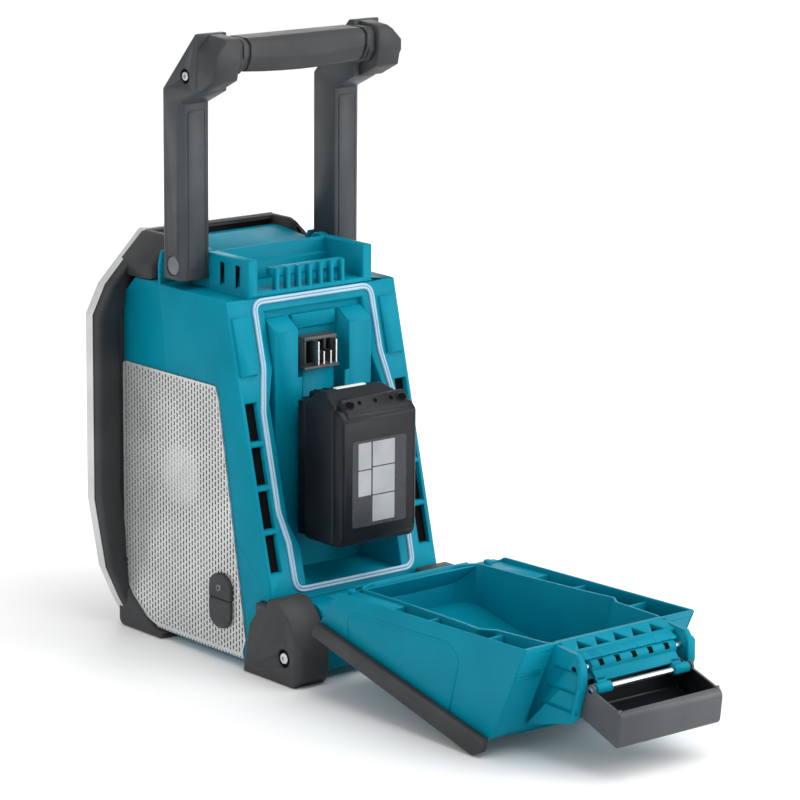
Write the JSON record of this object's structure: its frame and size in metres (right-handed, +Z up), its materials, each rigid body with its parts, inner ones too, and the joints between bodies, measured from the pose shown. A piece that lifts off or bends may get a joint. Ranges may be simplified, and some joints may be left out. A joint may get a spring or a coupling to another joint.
{
  "type": "jobsite radio",
  "caption": "Rugged portable radio with an upright folding handle, perforated speaker sides and a hinged rear door hanging open over a sliding battery pack.",
  "frame": {"origin": "middle of the footprint on the floor, with the door open", "axes": "+Z up, -Y out of the front with the controls, +Y the way the door hangs open, +X the radio's right side seen from the back"},
  "size_m": [0.239, 0.5854, 0.5035],
  "materials": {
    "teal": "satin moulded plastic",
    "dark": "fine-textured plastic",
    "rubber": "soft elastomer",
    "silver": "silver paint",
    "steel": "zinc plated",
    "seal": "smooth foam strip",
    "pack": "satin moulded plastic",
    "board": "solder mask",
    "cell": "shrink sleeve",
    "cone": "pressed cone",
    "lens": "clear",
    "screen": "liquid crystal",
    "magnet": "blackened iron"
  },
  "bodies": {
    "radio": {"baffle_board": "dark", "circuit_board": "board", "control_panel": "dark", "display_lens": "lens", "display_screen": "screen", "door_seal": "seal", "foot_screws": "steel", "front_frame": "rubber", "front_grille": "silver", "front_ring": "silver", "hinge_pin_left": "steel", "hinge_pin_right": "steel", "pivot_pin_left": "steel", "pivot_pin_right": "steel", "port_frame": "rubber", "port_screw": "steel", "port_socket": "dark", "rear_foot_left": "rubber", "rear_foot_right": "rubber", "rear_housing": "teal", "side_basket_left": "dark", "side_basket_right": "dark", "side_cone_left": "cone", "side_cone_right": "cone", "side_grille_left": "silver", "side_grille_right": "silver", "terminal_blades": "steel", "terminal_block": "dark", "woofer_basket": "dark", "woofer_cone": "cone", "woofer_magnet": "magnet"},
    "handle": {"handle_arm_right": "dark", "handle_arm_left": "dark", "handle_grip": "rubber", "grip_cap_right": "rubber", "grip_cap_left": "rubber", "handle_screws": "steel"},
    "door": {"door_tray": "teal", "bumper_right": "rubber", "bumper_left": "rubber", "latch_pin": "steel"},
    "latch_link": {"latch_link": "teal"},
    "latch_lever": {"latch_lever": "dark", "lever_pin": "steel"},
    "battery": {"battery_case": "pack", "battery_cover": "pack", "battery_connector": "pack", "battery_cells": "cell"},
    "battery_button": {"battery_button": "pack"},
    "port_flap": {"port_flap": "rubber"},
    "tuning_knob": {"tuning_knob": "dark"},
    "power_button": {"power_button": "dark"},
    "preset_button_1": {"preset_button_1": "dark"},
    "preset_button_2": {"preset_button_2": "dark"},
    "preset_button_3": {"preset_button_3": "dark"},
    "preset_button_4": {"preset_button_4": "dark"},
    "preset_button_5": {"preset_button_5": "dark"},
    "preset_button_6": {"preset_button_6": "dark"}
  },
  "joints": [
    {"name": "handle_fold", "type": "hinge", "parent": "radio", "child": "handle", "pos_m": [0, -0.19635, 0.314], "axis": [1, 0, 0], "range_deg": [-75, 0]},
    {"name": "door_swing", "type": "hinge", "parent": "radio", "child": "door", "pos_m": [0, -0.03335, 0.05], "axis": [1, 0, 0], "range_deg": [0, 102.7]},
    {"name": "link_swing", "type": "hinge", "parent": "door", "child": "latch_link", "pos_m": [0, 0.24565, 0.077], "axis": [1, 0, 0], "range_deg": [0, 100]},
    {"name": "lever_swing", "type": "hinge", "parent": "latch_link", "child": "latch_lever", "pos_m": [0, 0.25745, 0.0632], "axis": [-1, 0, 0], "range_deg": [-75, 0]},
    {"name": "battery_slide", "type": "slide", "parent": "radio", "child": "battery", "axis": [0, 0, 1], "range_m": [-0.025, 0.021]},
    {"name": "release_press", "type": "slide", "parent": "battery", "child": "battery_button", "axis": [0, 0, 1], "range_m": [0, 0.003], "stiffness_N_per_m": 800, "springref_m": -0.002},
    {"name": "flap_open", "type": "hinge", "parent": "radio", "child": "port_flap", "pos_m": [0.0895, -0.13735, 0.05], "axis": [0, -1, 0], "range_deg": [0, 100]},
    {"name": "tuning_turn", "type": "hinge", "parent": "radio", "child": "tuning_knob", "pos_m": [0.055, -0.28435, 0.258], "axis": [0, -1, 0], "continuous": true},
    {"name": "power_button_press", "type": "slide", "parent": "radio", "child": "power_button", "axis": [0, 1, 0], "range_m": [0, 0.0015], "stiffness_N_per_m": 500, "springref_m": -0.001},
    {"name": "preset_button_1_press", "type": "slide", "parent": "radio", "child": "preset_button_1", "axis": [0, 1, 0], "range_m": [0, 0.0015], "stiffness_N_per_m": 500, "springref_m": -0.001},
    {"name": "preset_button_2_press", "type": "slide", "parent": "radio", "child": "preset_button_2", "axis": [0, 1, 0], "range_m": [0, 0.0015], "stiffness_N_per_m": 500, "springref_m": -0.001},
    {"name": "preset_button_3_press", "type": "slide", "parent": "radio", "child": "preset_button_3", "axis": [0, 1, 0], "range_m": [0, 0.0015], "stiffness_N_per_m": 500, "springref_m": -0.001},
    {"name": "preset_button_4_press", "type": "slide", "parent": "radio", "child": "preset_button_4", "axis": [0, 1, 0], "range_m": [0, 0.0015], "stiffness_N_per_m": 500, "springref_m": -0.001},
    {"name": "preset_button_5_press", "type": "slide", "parent": "radio", "child": "preset_button_5", "axis": [0, 1, 0], "range_m": [0, 0.0015], "stiffness_N_per_m": 500, "springref_m": -0.001},
    {"name": "preset_button_6_press", "type": "slide", "parent": "radio", "child": "preset_button_6", "axis": [0, 1, 0], "range_m": [0, 0.0015], "stiffness_N_per_m": 500, "springref_m": -0.001}
  ]
}
